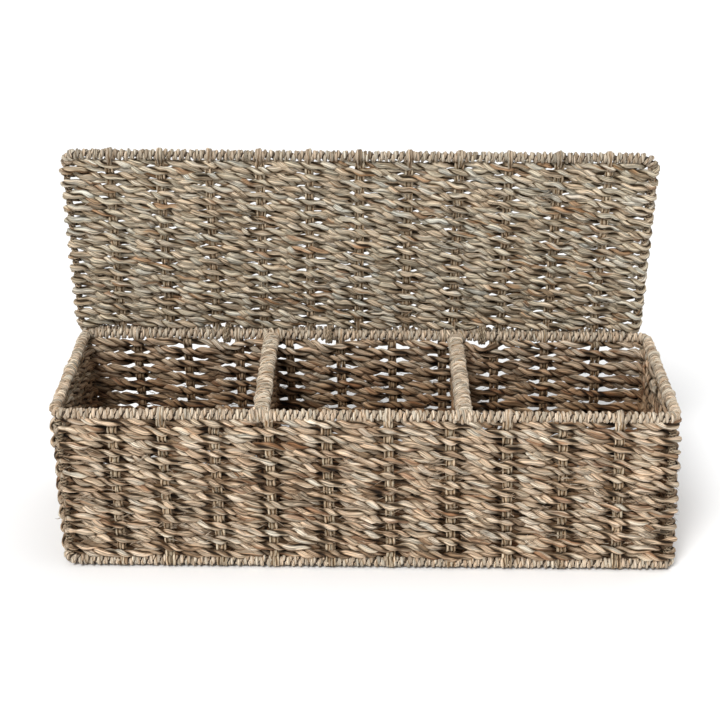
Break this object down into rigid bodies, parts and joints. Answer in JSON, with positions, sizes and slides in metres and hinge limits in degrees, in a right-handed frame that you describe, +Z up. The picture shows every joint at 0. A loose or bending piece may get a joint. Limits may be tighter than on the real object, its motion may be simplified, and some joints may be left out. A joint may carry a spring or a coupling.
{
  "type": "wicker basket",
  "caption": "Rectangular woven seagrass basket with a hinged lid and divided compartments, for storing small items.",
  "frame": {"origin": "middle of the flat underside of the floor, where the basket rests", "axes": "+Z up, -Y towards the front, +X to the right along the length; the lid stands open behind the back rim"},
  "size_m": [0.465, 0.184, 0.285],
  "materials": {
    "seagrass_rope": "matte",
    "seagrass_cord": "matte",
    "frame_wire": "satin"
  },
  "bodies": {
    "box": {"back_base_binding": "seagrass_cord", "back_left_corner_post": "frame_wire", "back_right_corner_post": "frame_wire", "back_rim_binding": "seagrass_cord", "back_wall_stakes": "seagrass_cord", "back_wall_weave": "seagrass_rope", "base_frame_wire": "frame_wire", "floor_stakes": "seagrass_cord", "floor_weave": "seagrass_rope", "front_base_binding": "seagrass_cord", "front_left_corner_post": "frame_wire", "front_right_corner_post": "frame_wire", "front_rim_binding": "seagrass_cord", "front_wall_stakes": "seagrass_cord", "front_wall_weave": "seagrass_rope", "left_divider_bar_binding": "seagrass_cord", "left_divider_bar_wire": "frame_wire", "left_divider_stakes": "seagrass_cord", "left_divider_weave": "seagrass_rope", "left_end_base_binding": "seagrass_cord", "left_end_rim_binding": "seagrass_cord", "left_end_stakes": "seagrass_cord", "left_end_weave": "seagrass_rope", "right_divider_bar_binding": "seagrass_cord", "right_divider_bar_wire": "frame_wire", "right_divider_stakes": "seagrass_cord", "right_divider_weave": "seagrass_rope", "right_end_base_binding": "seagrass_cord", "right_end_rim_binding": "seagrass_cord", "right_end_stakes": "seagrass_cord", "right_end_weave": "seagrass_rope", "rim_frame_wire": "frame_wire"},
    "lid": {"hinge_tie_1": "seagrass_cord", "hinge_tie_2": "seagrass_cord", "hinge_tie_3": "seagrass_cord", "lid_frame_wire": "frame_wire", "lid_front_binding": "seagrass_cord", "lid_rear_binding": "seagrass_cord", "lid_stakes": "seagrass_cord", "lid_weave": "seagrass_rope"}
  },
  "joints": [
    {"name": "lid_hinge", "type": "hinge", "parent": "box", "child": "lid", "pos_m": [0, 0.08, 0.125], "axis": [1, 0, 0], "range_deg": [-25, 76.5]}
  ]
}
